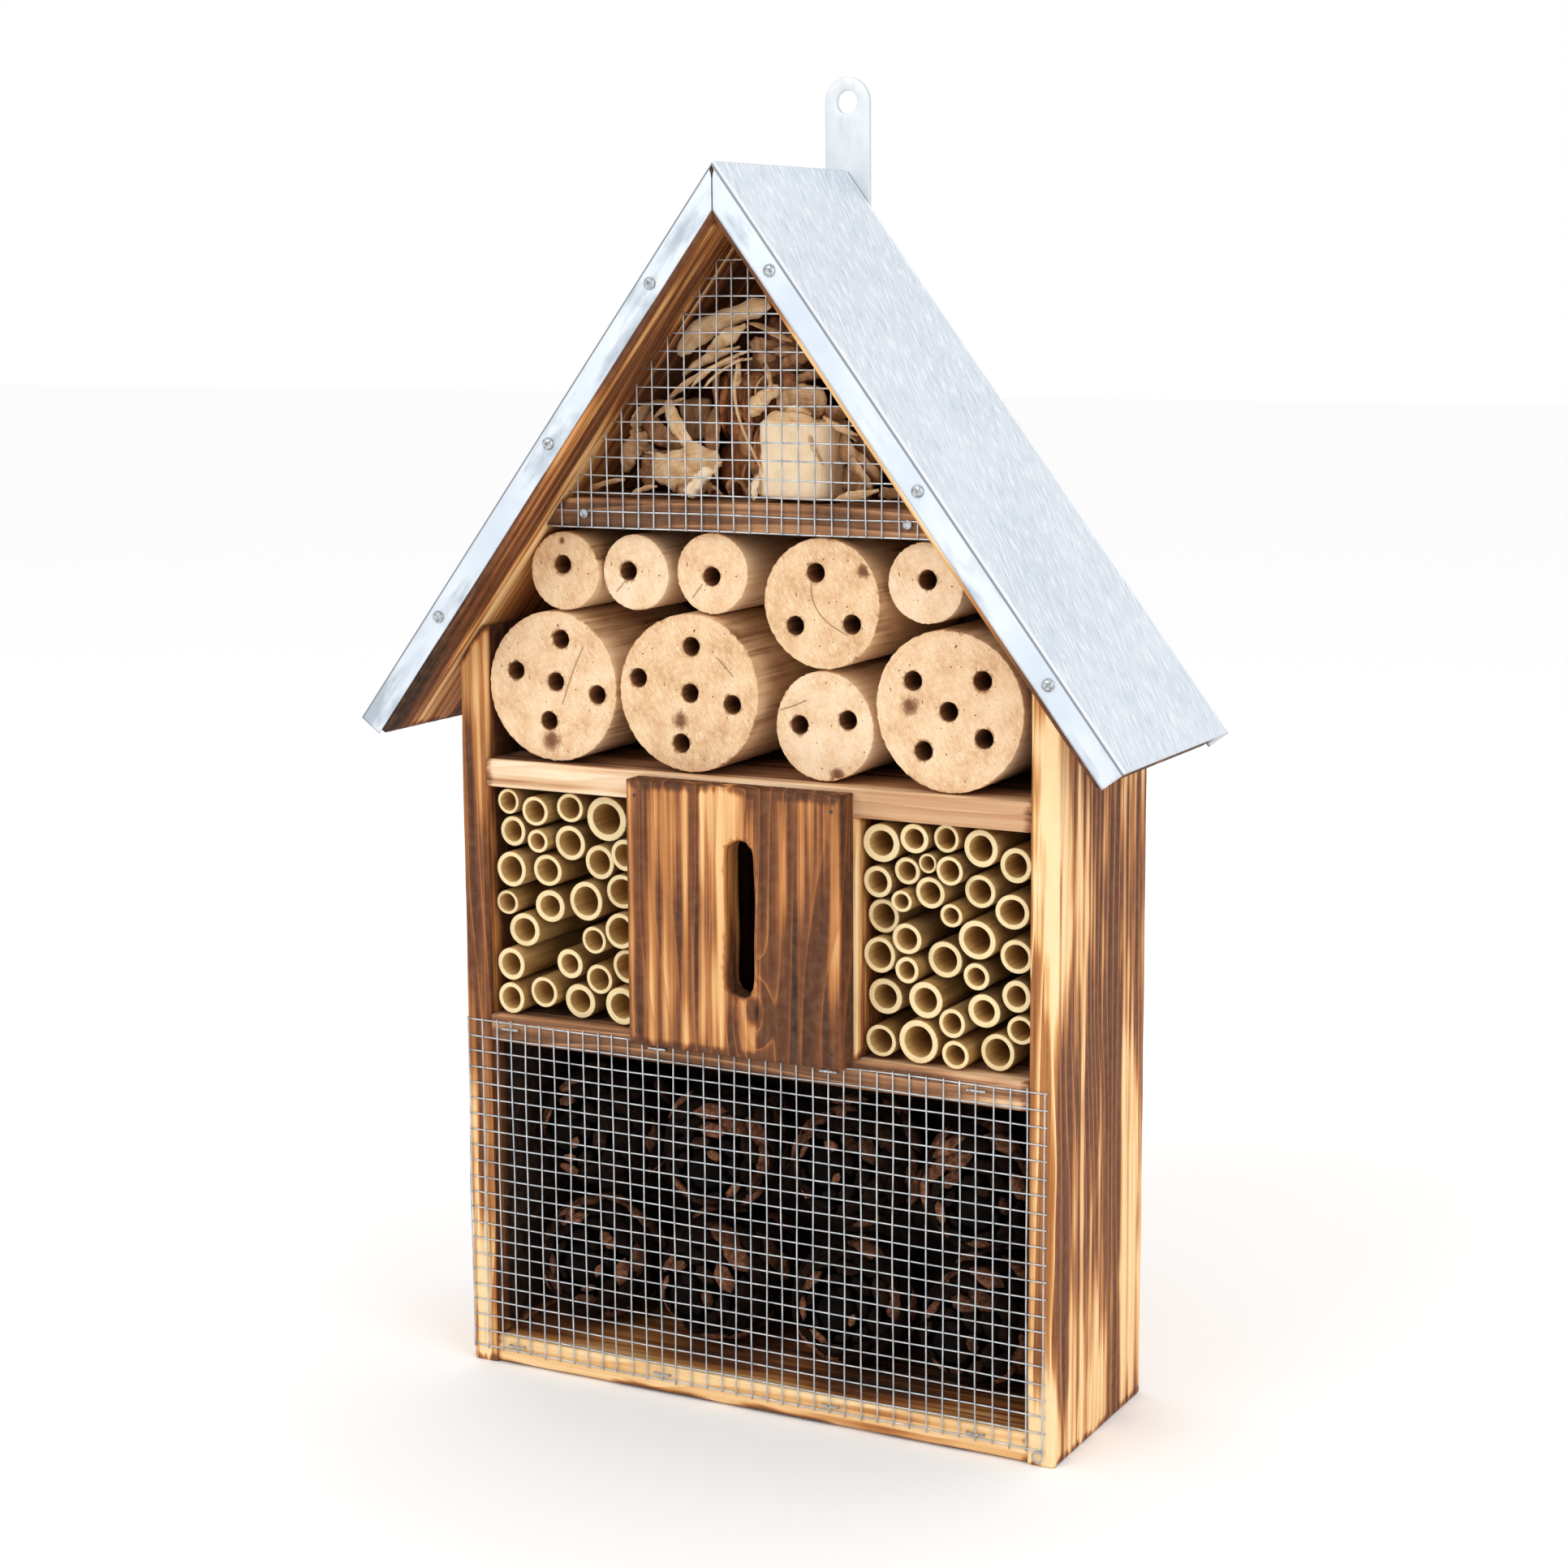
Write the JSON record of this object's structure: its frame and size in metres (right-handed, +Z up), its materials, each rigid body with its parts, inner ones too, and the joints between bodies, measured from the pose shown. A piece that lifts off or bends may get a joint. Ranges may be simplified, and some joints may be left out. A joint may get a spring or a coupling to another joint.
{
  "type": "insect hotel",
  "caption": "Tall house-shaped wooden insect hotel with a sheet metal roof, slotted butterfly board, drilled logs, cane, pine cones and wire mesh, hung by a strap.",
  "frame": {"origin": "centre of the bounding box's lowest face, level with the lower ends of the side boards", "axes": "+X to the right seen from the front, +Y from the front to the back, +Z up"},
  "size_m": [0.3016, 0.1072, 0.4816],
  "materials": {
    "flamed_pine": "flame-scorched grain, matt",
    "pale_pine": "planed, lightly scorched, matt",
    "branch_wood": "sawn end grain with thin bark",
    "cane": "dry cane, satin rind",
    "cone_scales": "dry open pine cone, matt",
    "bark": "rough, matt",
    "shavings": "torn and split softwood, matt",
    "galvanised_wire": "dull zinc coat",
    "galvanised_sheet": "smooth zinc coat, satin",
    "galvanised_strap": "zinc coat, satin",
    "fixings": "zinc coat, satin"
  },
  "bodies": {
    "root": {"back_panel": "flamed_pine", "back_panel_nails": "fixings", "bark_piece": "bark", "bottom_board": "pale_pine", "broad_chip": "shavings", "butterfly_board": "flamed_pine", "butterfly_board_nails": "fixings", "curled_shaving": "shavings", "fan_shavings": "shavings", "flat_chip": "shavings", "front_roof_screws": "fixings", "gable_mesh": "galvanised_wire", "gable_mesh_nails": "fixings", "gable_shelf": "pale_pine", "hanger_screws": "fixings", "hanger_strap": "galvanised_strap", "left_divider": "flamed_pine", "left_reeds_row_1": "cane", "left_reeds_row_2": "cane", "left_reeds_row_3": "cane", "left_reeds_row_4": "cane", "left_roof_front_plank": "flamed_pine", "left_roof_rear_plank": "flamed_pine", "left_side_board": "flamed_pine", "log_lower_1": "branch_wood", "log_lower_2": "branch_wood", "log_lower_3": "branch_wood", "log_lower_4": "branch_wood", "log_upper_1": "branch_wood", "log_upper_2": "branch_wood", "log_upper_3": "branch_wood", "log_upper_4": "branch_wood", "log_upper_5": "branch_wood", "long_shaving": "shavings", "lower_mesh": "galvanised_wire", "lower_mesh_staples": "fixings", "lower_shelf": "pale_pine", "pine_cone_1": "cone_scales", "pine_cone_2": "cone_scales", "pine_cone_3": "cone_scales", "pine_cone_4": "cone_scales", "pine_cone_5": "cone_scales", "pine_cone_6": "cone_scales", "pine_cone_7": "cone_scales", "pine_cone_8": "cone_scales", "rear_roof_screws": "fixings", "right_bark": "bark", "right_divider": "flamed_pine", "right_reeds_row_1": "cane", "right_reeds_row_2": "cane", "right_reeds_row_3": "cane", "right_reeds_row_4": "cane", "right_roof_front_plank": "flamed_pine", "right_roof_rear_plank": "flamed_pine", "right_side_board": "flamed_pine", "roof_sheet": "galvanised_sheet", "tan_chip": "shavings", "upper_shelf": "pale_pine", "wire_curl": "galvanised_wire", "wood_block": "shavings"}
  },
  "joints": []
}
